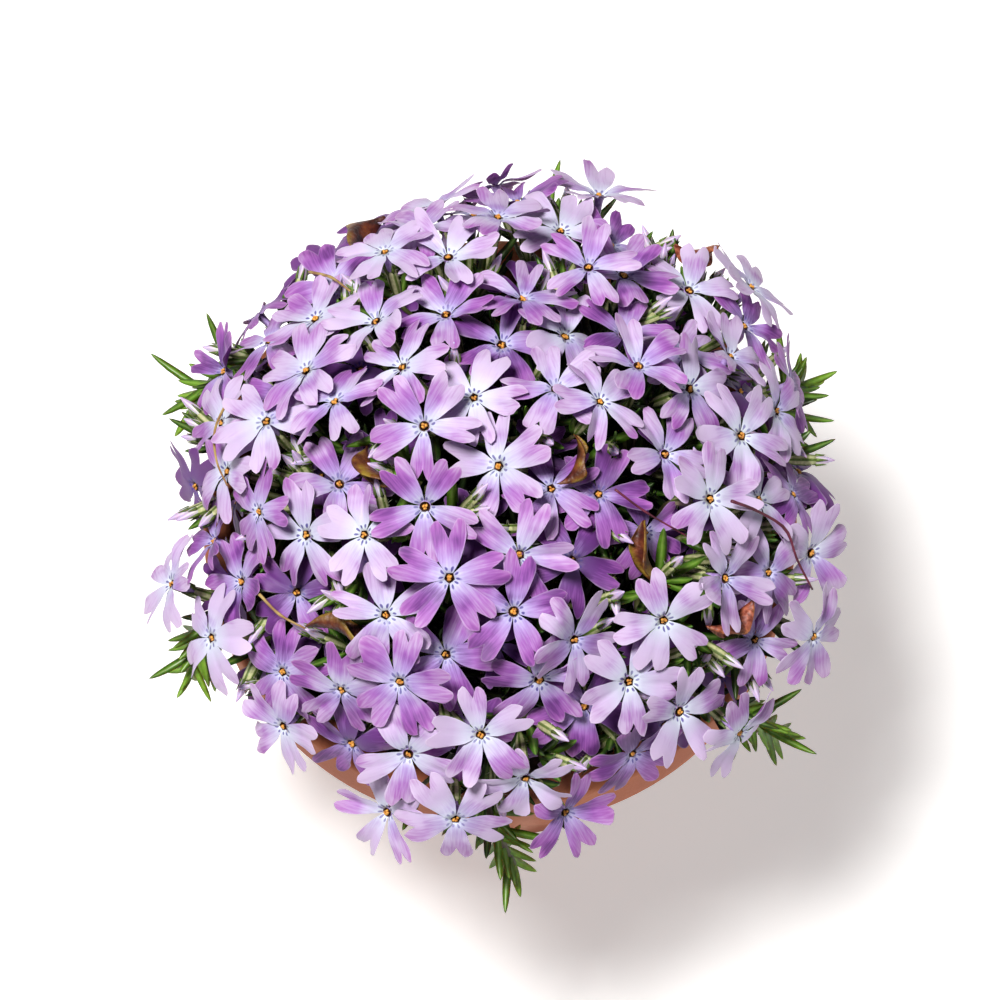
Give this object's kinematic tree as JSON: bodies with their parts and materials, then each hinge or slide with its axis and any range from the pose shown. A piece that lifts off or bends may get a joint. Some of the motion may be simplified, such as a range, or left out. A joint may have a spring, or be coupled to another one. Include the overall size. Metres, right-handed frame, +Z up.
{
  "type": "potted moss phlox",
  "caption": "Low cushion of needle-leaved shoots covered with flat lilac five-petalled blooms, in a round tapered clay pot with a rim band.",
  "frame": {"origin": "on the pot's axis, in the plane of the foot that it stands on", "axes": "+Z up along the pot's axis; -Y is the side that the camera looks down from"},
  "size_m": [0.1245, 0.1396, 0.1449],
  "materials": {
    "terracotta": "matte",
    "soil": "matte",
    "foliage": "satin",
    "petals": "matte",
    "dry_leaf": "satin"
  },
  "bodies": {
    "root": {"pot": "terracotta", "soil": "soil", "shoot_01": "foliage", "shoot_02": "foliage", "shoot_03": "foliage", "shoot_04": "foliage", "shoot_05": "foliage", "shoot_06": "foliage", "shoot_07": "foliage", "shoot_08": "foliage", "shoot_09": "foliage", "shoot_10": "foliage", "shoot_11": "foliage", "shoot_12": "foliage", "shoot_13": "foliage", "shoot_14": "foliage", "shoot_15": "foliage", "shoot_16": "foliage", "shoot_17": "foliage", "shoot_18": "foliage", "shoot_19": "foliage", "shoot_20": "foliage", "shoot_21": "foliage", "shoot_22": "foliage", "trailing_shoot_1": "foliage", "trailing_shoot_2": "foliage", "trailing_shoot_3": "foliage", "trailing_shoot_4": "foliage", "trailing_shoot_5": "foliage", "trailing_shoot_6": "foliage", "blooms_01": "petals", "blooms_02": "petals", "blooms_03": "petals", "blooms_04": "petals", "blooms_05": "petals", "blooms_06": "petals", "blooms_07": "petals", "blooms_08": "petals", "blooms_09": "petals", "blooms_10": "petals", "blooms_11": "petals", "blooms_12": "petals", "blooms_13": "petals", "blooms_14": "petals", "blooms_15": "petals", "blooms_16": "petals", "blooms_17": "petals", "blooms_18": "petals", "blooms_19": "petals", "blooms_20": "petals", "blooms_21": "petals", "blooms_22": "petals", "fallen_leaf_1": "dry_leaf", "fallen_leaf_2": "dry_leaf", "fallen_leaf_3": "dry_leaf", "fallen_leaf_4": "dry_leaf", "fallen_leaf_5": "dry_leaf", "fallen_leaf_6": "dry_leaf", "fallen_leaf_7": "dry_leaf"}
  },
  "joints": []
}
